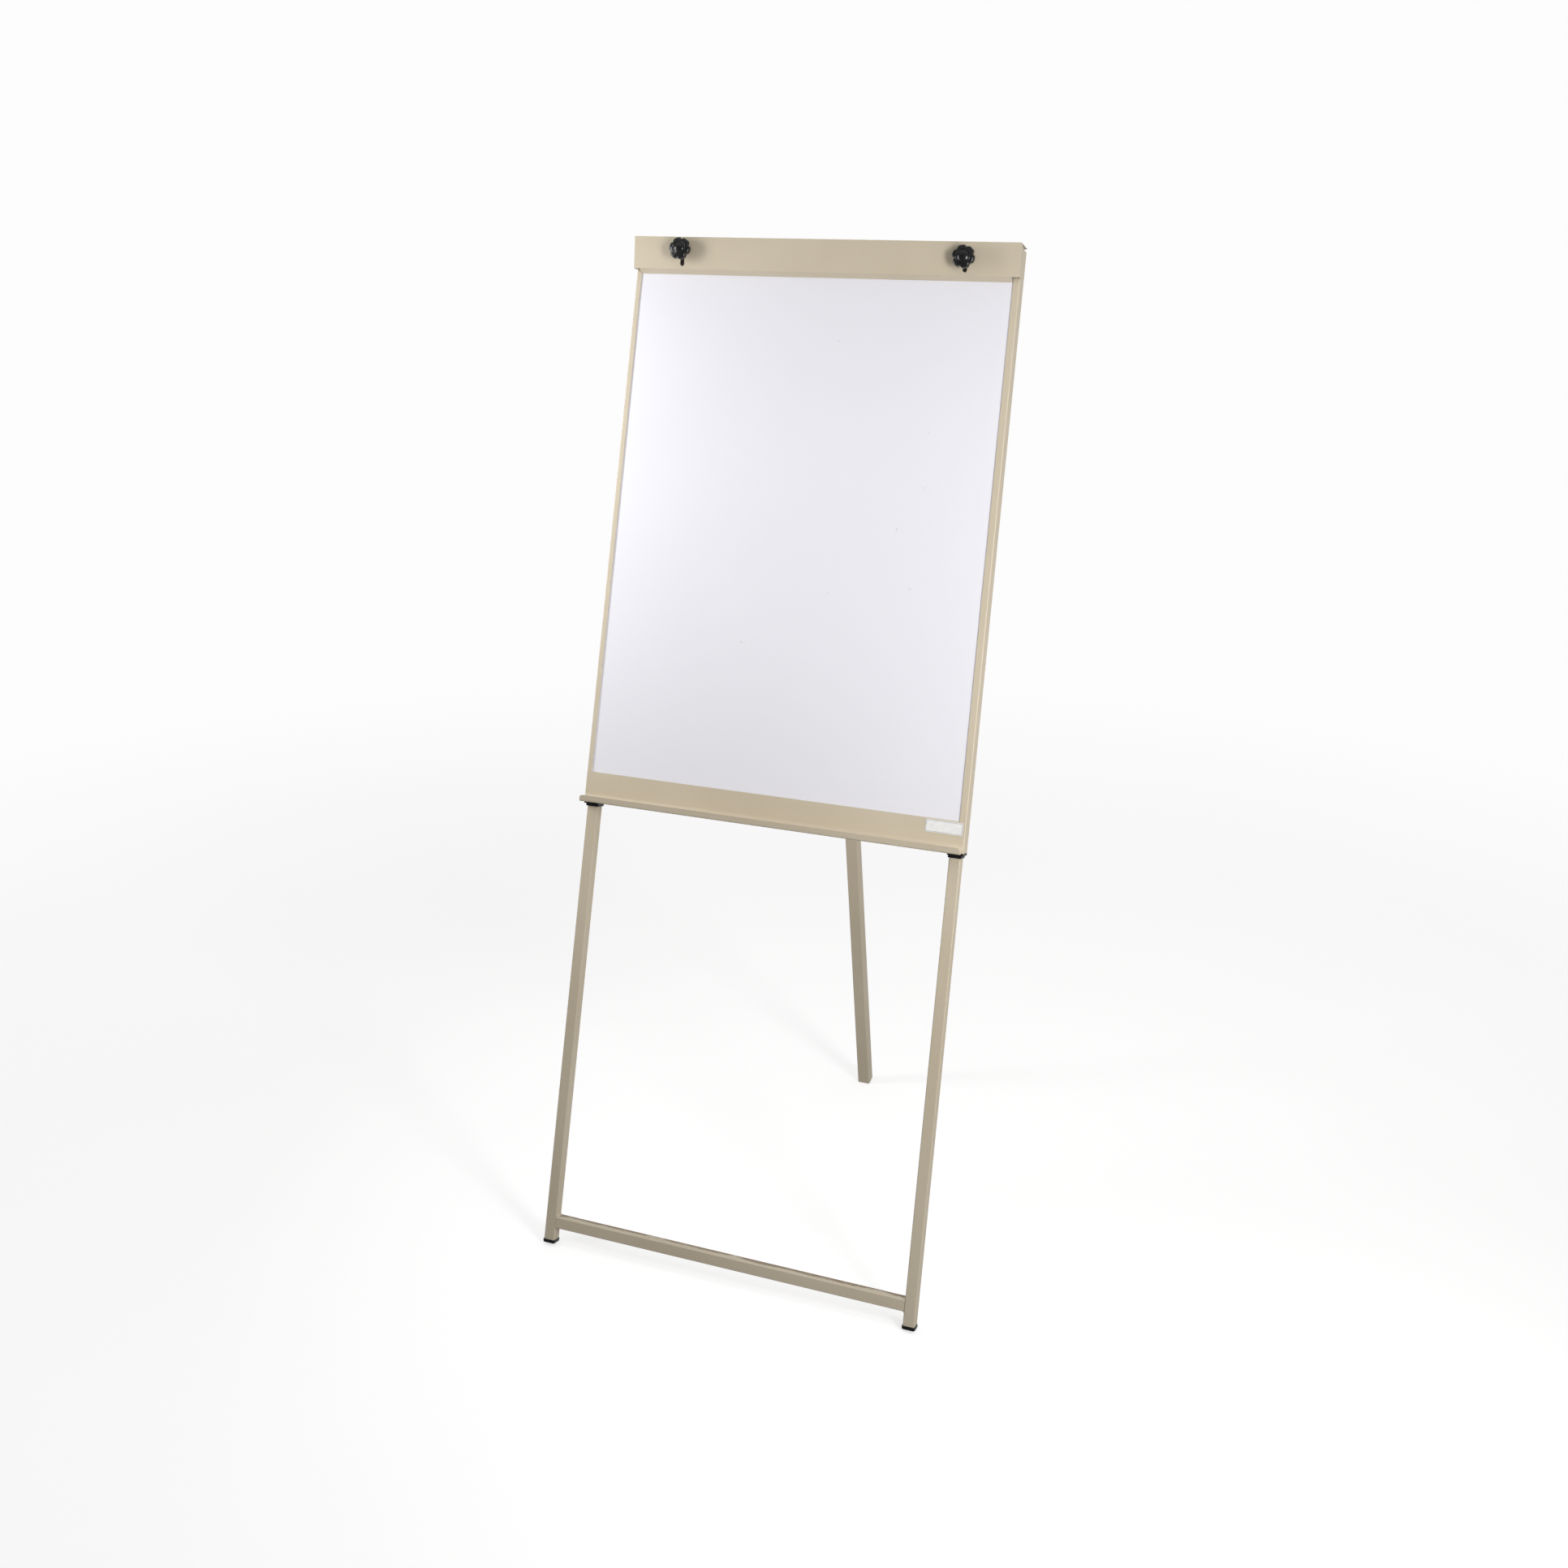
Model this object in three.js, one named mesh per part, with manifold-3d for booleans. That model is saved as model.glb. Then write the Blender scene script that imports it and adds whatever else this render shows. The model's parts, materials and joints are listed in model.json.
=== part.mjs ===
// Flipchart easel: a steel-faced writing board in a folded-steel frame, with a clamping
// header, a pen tray, a telescopic front leg frame and a folding telescopic rear leg.
// Millimetres, +Z up. The writing face looks towards -Y and leans back. The origin is on
// the floor, at the middle of the space that the easel takes up.

import * as THREE from 'three';
import { mergeVertices } from 'three/addons/utils/BufferGeometryUtils.js';
import Module from 'manifold-3d';

const wasm = await Module();
wasm.setup();

// ---------------------------------------------------------------- driving dimensions

const DEGREE = Math.PI / 180;
const GAP = 0.3;                 // air left between two pieces that touch
const SHEET = 1.5;               // folded sheet steel
const LEAN = 13.7 * DEGREE;      // board and front legs, from the vertical
const SPREAD = 26.05 * DEGREE;   // rear leg, from the board

// Heights along the sloping board, from the underside of the front foot caps.
const FRAME_BOTTOM = 794.4;      // lower end of the side channels
const FRAME_TOP = 1800.5;         // upper end of the side channels
const HEADER_TOP = 1806.3;
const PIVOT_HEIGHT = 1691.7;     // rear leg's hinge

// Depths are measured backwards from the front of the side channels.
const HALF_WIDTH = 350;
const FRAME_DEPTH = 27.4;
const FRONT_FLANGE = { right: 11.5, left: 9 };
const REAR_FLANGE = 42;
const PIVOT_DEPTH = 46;

const LEG = { size: 20, wall: 1.5, outerX: 345, front: 5, top: 994 };
const FOOT_CAP = { height: 9, wall: 1.2, floor: 3 };
const CROSSBAR_BOTTOM = 28.3;

const FACE = { front: 1.8, thickness: 0.8, bottom: 822, top: 1800, halfWidth: 348.2 };
const CORE = { front: 2.9, thickness: 6, bottom: 852, top: 1740, halfWidth: 321 };

const TRAY = {
  halfWidth: 348.6, panelTop: 846.7, reach: 25, lipTop: 805.8, bend: 15, lipBend: 3,
  lipLean: 14 * DEGREE,
};
const LABEL = { left: 281.5, right: 346, bottom: 823.6, top: 844.6, thickness: 0.4 };

const HEADER = {
  halfWidth: 351.3, faceBottom: 1750.8, topReach: 21, bottomReach: 12,
  flangeBack: 22, cheekTop: 1800, lipBottom: 1744.6, lipRight: 337.3, lipLeft: 340.5,
};
const SLOT = { width: 8, bottom: 1756.4, top: 1789 };

const STUD = { radius: 3, tip: -32.3 };
const STUD_PLACES = { right: { x: 257.5, z: 1779 }, left: { x: -257.5, z: 1783.5 } };
const WASHER = { radius: 8, front: -20.3, back: -18.8 };
const KNOB = {
  radius: 19.7, back: -20.6, front: -35.6, dome: -39, lobes: 6, scallop: 1.8,
  hubRadius: 11, hubDepth: 3.5,
};

const RAIL = { height: 40, flange: 10, halfWidth: 346, flangeHalfWidth: 306 };
const RAIL_HEIGHTS = { stud: 1760, hinge: 1672, bottom: 798 };
const RIVET = { x: 315, radius: 2, headRadius: 4, headHeight: 1.2 };

const REAR_UPPER = { size: 20, wall: 1.5, above: 10.5, below: 900 };
const REAR_LOWER = { size: 25, wall: 1.5, length: 960 };
const PIVOT = { radius: 4, earInner: 14, earThickness: 2.5 };
const BRACKET_SCREW = { x: 24, radius: 2.5 };

const LOCK = { height: 858, x: 331, screwRadius: 3, nutThickness: 6, knobRadius: 12.5 };

// Where the easel touches the floor: the rear lower edges of the front foot caps. The rear
// leg's length follows from that and from the two angles.
const CAP_MARGIN = FOOT_CAP.wall + GAP;
const CAP_BACK = LEG.front + LEG.size + CAP_MARGIN;
const LIFT = CAP_BACK * Math.sin(LEAN);
const REAR_LEAN = SPREAD - LEAN;
const PIVOT_Z = LIFT + PIVOT_HEIGHT * Math.cos(LEAN) - PIVOT_DEPTH * Math.sin(LEAN);
const HALF_REAR = REAR_LOWER.size / 2;
const REAR_LENGTH = (PIVOT_Z - HALF_REAR * Math.sin(REAR_LEAN)) / Math.cos(REAR_LEAN);
const FRONT_Y = (LEG.front - CAP_MARGIN) * Math.cos(LEAN);
const PIVOT_Y = PIVOT_DEPTH * Math.cos(LEAN) + PIVOT_HEIGHT * Math.sin(LEAN);
const REAR_Y = PIVOT_Y + REAR_LENGTH * Math.sin(REAR_LEAN) + HALF_REAR * Math.cos(REAR_LEAN);
const CENTRE_Y = (FRONT_Y + REAR_Y) / 2;

// ------------------------------------------------------------------------- materials

const paint = (color, roughness, metalness) =>
  new THREE.MeshStandardMaterial({ color, roughness, metalness });
const beigeCoat = () => paint(0xcdc1a9, 0.55, 0.15);
const blackPlastic = () => paint(0x1c1c1e, 0.45, 0);
const zincSteel = () => paint(0xb9bcc0, 0.35, 0.9);
const whiteEnamel = () => paint(0xeeedf2, 0.2, 0);
const hardboard = () => paint(0x9a7448, 0.8, 0);
const whiteFilm = () => paint(0xf6f6f6, 0.4, 0);

// --------------------------------------------------------------------- shape helpers

// A closed geometry as a solid, and back.
function toSolid(geometry) {
  const bare = geometry.index ? geometry.toNonIndexed() : geometry.clone();
  bare.deleteAttribute('normal');
  bare.deleteAttribute('uv');
  const merged = mergeVertices(bare, 1e-4);
  return new wasm.Manifold(new wasm.Mesh({
    numProp: 3,
    vertProperties: Float32Array.from(merged.attributes.position.array),
    triVerts: Uint32Array.from(merged.index.array),
  }));
}

function toGeometry(solid) {
  const mesh = solid.getMesh();
  const geometry = new THREE.BufferGeometry();
  geometry.setAttribute('position', new THREE.BufferAttribute(mesh.vertProperties, 3));
  geometry.setIndex(new THREE.BufferAttribute(mesh.triVerts, 1));
  geometry.computeVertexNormals();
  return geometry;
}

const cut = (geometry, ...tools) =>
  toGeometry(tools.reduce((rest, tool) => rest.subtract(toSolid(tool)), toSolid(geometry)));
const join = (geometry, ...others) =>
  toGeometry(others.reduce((whole, other) => whole.add(toSolid(other)), toSolid(geometry)));

// A box from its lowest to its highest corner.
function block([x0, y0, z0], [x1, y1, z1]) {
  const geometry = new THREE.BoxGeometry(x1 - x0, y1 - y0, z1 - z0);
  return geometry.translate((x0 + x1) / 2, (y0 + y1) / 2, (z0 + z1) / 2);
}

// A cylinder along Y, from depth y0 to depth y1.
function rodY(radius, x, z, y0, y1, sides = 20) {
  const geometry = new THREE.CylinderGeometry(radius, radius, y1 - y0, sides);
  return geometry.translate(x, (y0 + y1) / 2, z);
}

// A cylinder along X.
function rodX(radius, y, z, x0, x1, sides = 20) {
  const geometry = new THREE.CylinderGeometry(radius, radius, x1 - x0, sides);
  return geometry.rotateZ(-Math.PI / 2).translate((x0 + x1) / 2, y, z);
}

function roundedSquare(size, radius, target = new THREE.Shape()) {
  const h = size / 2;
  const c = h - radius;
  target.moveTo(-c, -h);
  target.lineTo(c, -h);
  target.absarc(c, -c, radius, -Math.PI / 2, 0, false);
  target.lineTo(h, c);
  target.absarc(c, c, radius, 0, Math.PI / 2, false);
  target.lineTo(-c, h);
  target.absarc(-c, c, radius, Math.PI / 2, Math.PI, false);
  target.lineTo(-h, -c);
  target.absarc(-c, -c, radius, Math.PI, 1.5 * Math.PI, false);
  return target;
}

// A square tube along Z, open at both ends.
function squareTube(size, wall, z0, z1) {
  const shape = roundedSquare(size, 2);
  shape.holes.push(roundedSquare(size - 2 * wall, 0.8, new THREE.Path()));
  const options = { depth: z1 - z0, bevelEnabled: false, curveSegments: 3 };
  return new THREE.ExtrudeGeometry(shape, options).translate(0, 0, z0);
}

// An outline of [depth, height] points, extruded along X.
const ALONG_X = new THREE.Matrix4().makeBasis(
  new THREE.Vector3(0, 1, 0), new THREE.Vector3(0, 0, 1), new THREE.Vector3(1, 0, 0));
function extrudeX(points, x0, x1) {
  const shape = new THREE.Shape(points.map(([y, z]) => new THREE.Vector2(y, z)));
  const geometry = new THREE.ExtrudeGeometry(shape, { depth: x1 - x0, bevelEnabled: false });
  return geometry.applyMatrix4(ALONG_X).translate(x0, 0, 0);
}

// Points on an arc about [y, z], without its first point.
function arc(y, z, radius, from, to, steps = 6) {
  const points = [];
  for (let i = 1; i <= steps; i += 1) {
    const angle = from + ((to - from) * i) / steps;
    points.push([y + radius * Math.cos(angle), z + radius * Math.sin(angle)]);
  }
  return points;
}

const mirrored = (geometry) => {
  const flipped = geometry.index ? geometry.toNonIndexed() : geometry.clone();
  flipped.applyMatrix4(new THREE.Matrix4().makeScale(-1, 1, 1));
  const position = flipped.attributes.position;
  for (let i = 0; i < position.count; i += 3) {
    for (const get of ['X', 'Y', 'Z']) {
      const held = position[`get${get}`](i);
      position[`set${get}`](i, position[`get${get}`](i + 1));
      position[`set${get}`](i + 1, held);
    }
  }
  flipped.computeVertexNormals();
  return flipped;
};

function add(group, name, geometry, material) {
  const mesh = new THREE.Mesh(geometry, material);
  mesh.name = name;
  group.add(mesh);
  return mesh;
}

// The same piece on both sides: the right one as built, the left one mirrored.
function addPair(group, name, geometry, material) {
  add(group, `${name}_right`, geometry, material());
  add(group, `${name}_left`, mirrored(geometry), material());
}

// ------------------------------------------------------------------------ board body

// A folded C channel with a narrow front flange, an outer web and a wide rear flange.
function sideChannel(frontFlange) {
  const outline = new THREE.Shape();
  const inner = HALF_WIDTH - SHEET;
  const back = FRAME_DEPTH;
  outline.moveTo(HALF_WIDTH - frontFlange, 0);
  outline.lineTo(HALF_WIDTH - 2, 0);
  outline.absarc(HALF_WIDTH - 2, 2, 2, -Math.PI / 2, 0, false);
  outline.lineTo(HALF_WIDTH, back - 2);
  outline.absarc(HALF_WIDTH - 2, back - 2, 2, 0, Math.PI / 2, false);
  outline.lineTo(HALF_WIDTH - REAR_FLANGE, back);
  outline.lineTo(HALF_WIDTH - REAR_FLANGE, back - SHEET);
  outline.lineTo(inner, back - SHEET);
  outline.lineTo(inner, SHEET);
  outline.lineTo(HALF_WIDTH - frontFlange, SHEET);
  const options = { depth: FRAME_TOP - FRAME_BOTTOM, bevelEnabled: false, curveSegments: 4 };
  const profile = new THREE.ExtrudeGeometry(outline, options).translate(0, 0, FRAME_BOTTOM);
  const holes = Object.values(RAIL_HEIGHTS).map((bottom) =>
    rodY(RIVET.radius + GAP, RIVET.x, bottom + RAIL.height / 2, back - 5, back + 5, 12));
  const lockHole = rodY(LOCK.screwRadius + GAP, LOCK.x, LOCK.height, back - 5, back + 5, 16);
  return cut(profile, ...holes, lockHole);
}

function studHoles(radius, front, back) {
  return Object.values(STUD_PLACES).map(({ x, z }) => rodY(radius, x, z, front, back, 16));
}

function whiteboardFace() {
  const { front, thickness, bottom, top, halfWidth } = FACE;
  const sheet = block([-halfWidth, front, bottom], [halfWidth, front + thickness, top]);
  return cut(sheet, ...studHoles(STUD.radius + GAP, 0, 10));
}

function boardCore() {
  const { front, thickness, bottom, top, halfWidth } = CORE;
  return block([-halfWidth, front, bottom], [halfWidth, front + thickness, top]);
}

// A flat web behind the channels with two flanges folded forwards between them.
function rail(bottom) {
  const top = bottom + RAIL.height;
  const front = FRAME_DEPTH + GAP;
  const web = block([-RAIL.halfWidth, front, bottom], [RAIL.halfWidth, front + SHEET, top]);
  const flange = (z) => block(
    [-RAIL.flangeHalfWidth, front - RAIL.flange, z],
    [RAIL.flangeHalfWidth, front + SHEET, z + SHEET]);
  return join(web, flange(bottom), flange(top - SHEET));
}

function drilledRail(bottom, extraHoles = []) {
  const middle = bottom + RAIL.height / 2;
  const rivetHoles = [-1, 1].map((side) =>
    rodY(RIVET.radius + GAP, side * RIVET.x, middle, 20, 40, 12));
  return cut(rail(bottom), ...rivetHoles, ...extraHoles);
}

// A blind rivet through a rail's web and a channel's rear flange.
function railRivet(x, z) {
  const outside = FRAME_DEPTH + 2 * GAP + SHEET;
  const inside = FRAME_DEPTH - SHEET - GAP;
  const shank = rodY(RIVET.radius, x, z, inside - 1, outside + 0.5, 12);
  const head = new THREE.CylinderGeometry(
    RIVET.headRadius * 0.6, RIVET.headRadius, RIVET.headHeight, 16);
  head.translate(x, outside + RIVET.headHeight / 2, z);
  const tail = rodY(RIVET.radius * 1.4, x, z, inside - 2, inside, 12);
  return join(shank, head, tail);
}

// One sheet: a flat panel over the channels' lower ends that curves forwards into a
// trough and turns up into a lip, which leans forwards.
function penTray() {
  const quarter = Math.PI / 2;
  const { halfWidth, panelTop, reach, lipTop, bend, lipBend, lipLean } = TRAY;
  const floor = FRAME_BOTTOM;
  const back = -GAP;
  const lipRise = lipTop - floor - lipBend * (1 - Math.sin(lipLean));
  const lipFoot = -reach + lipRise * Math.tan(lipLean) + lipBend * Math.cos(lipLean);
  const inside = lipBend - SHEET;
  const outer = [
    [back, panelTop], [back, floor + bend],
    ...arc(back - bend, floor + bend, bend, 0, -quarter, 8),
    [lipFoot, floor],
    ...arc(lipFoot, floor + lipBend, lipBend, -quarter, lipLean - 2 * quarter, 4),
    [-reach, lipTop],
  ];
  const inner = [
    [-reach + SHEET / Math.cos(lipLean), lipTop],
    [lipFoot - inside * Math.cos(lipLean), floor + lipBend - inside * Math.sin(lipLean)],
    ...arc(lipFoot, floor + lipBend, inside, 2 * quarter + lipLean, 3 * quarter, 4),
    [back - bend, floor + SHEET],
    ...arc(back - bend, floor + bend, bend - SHEET, -quarter, 0, 8),
    [back - SHEET, panelTop],
  ];
  return extrudeX([...outer, ...inner], -halfWidth, halfWidth);
}

function blankLabel() {
  const { left, right, bottom, top, thickness } = LABEL;
  const back = -2 * GAP - SHEET;
  return block([left, back - thickness, bottom], [right, back, top]);
}

// A moulded guide in the channel's lower end: a plate under the channel, a smaller step
// below it and a sleeve inside the channel, all round the leg.
function guideCollar() {
  const x = HALF_WIDTH;
  const legInner = LEG.outerX - LEG.size;
  const legBack = LEG.front + LEG.size;
  const slack = 0.4;
  const plateTop = FRAME_BOTTOM - GAP;
  const plate = block([x - 28, 0.3, plateTop - 4.6], [x - 0.2, FRAME_DEPTH, plateTop]);
  const step = block([legInner - 1.8, LEG.front - 1.8, plateTop - 9],
    [LEG.outerX + 1.8, legBack + 1.8, plateTop - 4]);
  const sleeve = block([legInner - 2, FACE.front, plateTop - 1],
    [x - SHEET - GAP, FRAME_DEPTH - SHEET - GAP, FACE.bottom - 12]);
  const bore = block([legInner - slack, LEG.front - slack, plateTop - 20],
    [LEG.outerX + slack, legBack + slack, FACE.bottom + 20]);
  return cut(join(plate, step, sleeve), bore);
}

function hexPrism(flats, x, z, y0, y1) {
  return rodY(flats / Math.sqrt(3), x, z, y0, y1, 6);
}

// A hexagon-headed bolt through the stud rail and the board, its thread to the front.
function clampStud({ x, z }) {
  const railBack = FRAME_DEPTH + SHEET + 2 * GAP;
  const shank = rodY(STUD.radius, x, z, STUD.tip, railBack + 1, 16);
  return join(shank, hexPrism(10, x, z, railBack, railBack + 4));
}

function nutY(flats, boreRadius, x, z, y0, y1) {
  return cut(hexPrism(flats, x, z, y0, y1), rodY(boreRadius, x, z, y0 - 1, y1 + 1, 16));
}

// The bracket's base lies on the hinge rail; its two ears carry the pivot bolt.
function hingeBracket() {
  const base = FRAME_DEPTH + SHEET + 2 * GAP;
  const outer = PIVOT.earInner + PIVOT.earThickness;
  const low = RAIL_HEIGHTS.hinge + 2;
  const high = RAIL_HEIGHTS.hinge + RAIL.height - 2;
  const plate = block([-outer - 16, base, low], [outer + 16, base + 2.5, high]);
  const ear = (x0, x1) => block([x0, base, low], [x1, PIVOT_DEPTH + 12, high]);
  const bracket = join(plate, ear(PIVOT.earInner, outer), ear(-outer, -PIVOT.earInner));
  const boltHole = rodX(PIVOT.radius + GAP, PIVOT_DEPTH, PIVOT_HEIGHT, -30, 30);
  return cut(bracket, boltHole, ...bracketScrewHoles(base - 5, base + 10));
}

function bracketScrewHoles(front, back) {
  const z = RAIL_HEIGHTS.hinge + RAIL.height / 2;
  return [-1, 1].map((side) =>
    rodY(BRACKET_SCREW.radius + GAP, side * BRACKET_SCREW.x, z, front, back, 12));
}

function bracketScrew(side) {
  const z = RAIL_HEIGHTS.hinge + RAIL.height / 2;
  const seat = FRAME_DEPTH + SHEET + 3 * GAP + 2.5;
  const x = side * BRACKET_SCREW.x;
  const head = new THREE.CylinderGeometry(2.6, 4.8, 2.6, 18).translate(x, seat + 1.3, z);
  const shank = rodY(BRACKET_SCREW.radius, x, z, FRAME_DEPTH - 6, seat + 1, 12);
  return join(shank, head);
}

function pivotBolt() {
  const seat = PIVOT.earInner + PIVOT.earThickness + GAP;
  const shank = rodX(PIVOT.radius - 0.1, PIVOT_DEPTH, PIVOT_HEIGHT, -seat - 9, seat + 1);
  const head = rodX(13 / Math.sqrt(3), PIVOT_DEPTH, PIVOT_HEIGHT, seat, seat + 5, 6);
  return join(shank, head);
}

function pivotNut() {
  const seat = PIVOT.earInner + PIVOT.earThickness + GAP;
  const body = rodX(13 / Math.sqrt(3), PIVOT_DEPTH, PIVOT_HEIGHT, -seat - 7, -seat, 6);
  return cut(body, rodX(PIVOT.radius + 0.1, PIVOT_DEPTH, PIVOT_HEIGHT, -40, 0));
}

function boardBody() {
  const group = new THREE.Group();
  const railMiddle = (bottom) => bottom + RAIL.height / 2;
  const front = FACE.front - GAP;
  add(group, 'side_channel_right', sideChannel(FRONT_FLANGE.right), beigeCoat());
  add(group, 'side_channel_left', mirrored(sideChannel(FRONT_FLANGE.left)), beigeCoat());
  add(group, 'whiteboard_face', whiteboardFace(), whiteEnamel());
  add(group, 'board_core', boardCore(), hardboard());
  const studRailHoles = studHoles(STUD.radius + GAP, 10, 40);
  add(group, 'stud_rail', drilledRail(RAIL_HEIGHTS.stud, studRailHoles), beigeCoat());
  const hingeRailHoles = bracketScrewHoles(20, 40);
  add(group, 'hinge_rail', drilledRail(RAIL_HEIGHTS.hinge, hingeRailHoles), beigeCoat());
  add(group, 'bottom_rail', drilledRail(RAIL_HEIGHTS.bottom), beigeCoat());
  for (const [where, bottom] of Object.entries(RAIL_HEIGHTS)) {
    addPair(group, `${where}_rail_rivet`, railRivet(RIVET.x, railMiddle(bottom)), zincSteel);
  }
  add(group, 'pen_tray', penTray(), beigeCoat());
  add(group, 'blank_label', blankLabel(), whiteFilm());
  addPair(group, 'guide_collar', guideCollar(), blackPlastic);
  for (const [side, place] of Object.entries(STUD_PLACES)) {
    const nut = nutY(10, STUD.radius + GAP, place.x, place.z, front - 5, front);
    add(group, `clamp_stud_${side}`, clampStud(place), zincSteel());
    add(group, `stud_nut_${side}`, nut, zincSteel());
  }
  add(group, 'hinge_bracket', hingeBracket(), zincSteel());
  add(group, 'bracket_screw_right', bracketScrew(1), zincSteel());
  add(group, 'bracket_screw_left', bracketScrew(-1), zincSteel());
  add(group, 'pivot_bolt', pivotBolt(), zincSteel());
  add(group, 'pivot_nut', pivotNut(), zincSteel());
  const nutFront = FRAME_DEPTH + GAP;
  const weldNut = nutY(11, LOCK.screwRadius + GAP, LOCK.x, LOCK.height,
    nutFront, nutFront + LOCK.nutThickness);
  addPair(group, 'leg_lock_nut', weldNut, zincSteel);
  return group;
}

// ------------------------------------------------------------------------- leg frame

function legTube() {
  const centreX = LEG.outerX - LEG.size / 2;
  const centreY = LEG.front + LEG.size / 2;
  const tube = squareTube(LEG.size, LEG.wall, FOOT_CAP.floor + GAP, LEG.top);
  return tube.translate(centreX, centreY, 0);
}

function footCap() {
  const x0 = LEG.outerX - LEG.size;
  const y0 = LEG.front;
  const outside = block([x0 - CAP_MARGIN, y0 - CAP_MARGIN, 0],
    [LEG.outerX + CAP_MARGIN, y0 + LEG.size + CAP_MARGIN, FOOT_CAP.height]);
  const pocket = block([x0 - GAP, y0 - GAP, FOOT_CAP.floor],
    [LEG.outerX + GAP, y0 + LEG.size + GAP, FOOT_CAP.height + 1]);
  return cut(outside, pocket);
}

function legGlide() {
  const x0 = LEG.outerX - LEG.size;
  const bottom = LEG.top + GAP;
  return block([x0 - 1.5, 4, bottom], [HALF_WIDTH - SHEET - GAP, 25.5, bottom + 10]);
}

function legFrame() {
  const group = new THREE.Group();
  addPair(group, 'leg_tube', legTube(), beigeCoat);
  const reach = LEG.outerX - LEG.size - GAP;
  const bar = squareTube(LEG.size, LEG.wall, -reach, reach).rotateY(Math.PI / 2);
  const centreY = LEG.front + LEG.size / 2;
  bar.translate(0, centreY, CROSSBAR_BOTTOM + LEG.size / 2);
  add(group, 'crossbar', bar, beigeCoat());
  addPair(group, 'foot_cap', footCap(), blackPlastic);
  addPair(group, 'leg_glide', legGlide(), blackPlastic);
  return group;
}

// -------------------------------------------------------------------- clamping header

// One folded sheet: a face that tilts forwards, a flange over the board's top, a lip that
// turns in to press on the paper, and a cheek in front of each channel.
function clampHeader() {
  const { halfWidth, faceBottom, topReach, bottomReach } = HEADER;
  const { flangeBack, cheekTop, lipBottom, lipRight, lipLeft } = HEADER;
  const cap = extrudeX([
    [flangeBack, HEADER_TOP], [-topReach, HEADER_TOP], [-bottomReach, faceBottom],
    [-bottomReach + SHEET, faceBottom], [-topReach + SHEET * 1.2, HEADER_TOP - SHEET],
    [flangeBack, HEADER_TOP - SHEET],
  ], -halfWidth, halfWidth);
  const lip = extrudeX([
    [-bottomReach, faceBottom + 0.5], [-bottomReach, faceBottom], [0, lipBottom],
    [FACE.front - GAP, lipBottom], [FACE.front - GAP, lipBottom + SHEET],
    [-bottomReach + SHEET, faceBottom + 1.2],
  ], -lipLeft, lipRight);
  const cheekOutline = [
    [-topReach, HEADER_TOP], [-bottomReach, faceBottom], [-GAP, faceBottom],
    [-GAP, cheekTop],
  ];
  const cheek = extrudeX(cheekOutline, halfWidth - SHEET, halfWidth);
  const otherCheek = extrudeX(cheekOutline, -halfWidth, SHEET - halfWidth);
  const half = SLOT.width / 2;
  const slots = Object.values(STUD_PLACES).flatMap(({ x }) => [
    rodY(half, x, SLOT.bottom + half, -40, -5),
    rodY(half, x, SLOT.top - half, -40, -5),
    block([x - half, -40, SLOT.bottom + half], [x + half, -5, SLOT.top - half]),
  ]);
  return cut(join(cap, lip, cheek, otherCheek), ...slots);
}

function clampWasher({ x, z }) {
  const disc = rodY(WASHER.radius, x, z, WASHER.front, WASHER.back, 24);
  return cut(disc, rodY(STUD.radius + GAP, x, z, -40, 0, 16));
}

// A star knob about the Y axis at the origin, its back at depth 0 and its front at -depth.
function starKnob({ radius, lobes, scallop, depth, domeHeight, boreRadius, boreDepth }) {
  const outline = new THREE.Shape();
  const steps = lobes * 8;
  for (let i = 0; i < steps; i += 1) {
    const angle = (2 * Math.PI * i) / steps;
    const wave = Math.max(0, -Math.cos(lobes * angle));
    const reach = radius - scallop * wave * wave;
    const point = [reach * Math.cos(angle), reach * Math.sin(angle)];
    outline[i === 0 ? 'moveTo' : 'lineTo'](...point);
  }
  const options = {
    depth: depth - 3, bevelEnabled: true, bevelThickness: 1.5, bevelSize: 1.5,
    bevelOffset: -1.5, bevelSegments: 1,
  };
  const body = new THREE.ExtrudeGeometry(outline, options).translate(0, 0, 1.5);
  body.rotateX(Math.PI / 2);
  const dome = new THREE.LatheGeometry([
    new THREE.Vector2(0, -1), new THREE.Vector2(radius * 0.6, -1),
    new THREE.Vector2(radius * 0.6, 0), new THREE.Vector2(radius * 0.45, domeHeight * 0.6),
    new THREE.Vector2(radius * 0.22, domeHeight * 0.9), new THREE.Vector2(0, domeHeight),
  ], 24);
  dome.rotateX(Math.PI).translate(0, -depth, 0);
  const bore = rodY(boreRadius, 0, 0, -boreDepth, 1, 16);
  return cut(join(body, dome), bore);
}

// A star on a hub that stands off from the washer.
function clampKnob({ x, z }) {
  const { radius, lobes, scallop, back, front, dome, hubRadius, hubDepth } = KNOB;
  const boreRadius = STUD.radius + 2;
  const depth = back - hubDepth - front;
  const star = starKnob({
    radius, lobes, scallop, depth, domeHeight: front - dome, boreRadius, boreDepth: 12.5,
  });
  star.translate(0, -hubDepth, 0);
  const hub = cut(rodY(hubRadius, 0, 0, -hubDepth - 1, 0, 24),
    rodY(boreRadius, 0, 0, -hubDepth - 5, 1, 16));
  return join(star, hub).translate(x, back, z);
}

// The threaded metal sleeve moulded into a clamp knob.
function knobInsert({ x, z }) {
  const sleeve = rodY(STUD.radius + 2 - GAP, x, z, KNOB.back - 12, KNOB.back, 16);
  return cut(sleeve, rodY(STUD.radius + GAP, x, z, -60, 0, 16));
}

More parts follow.
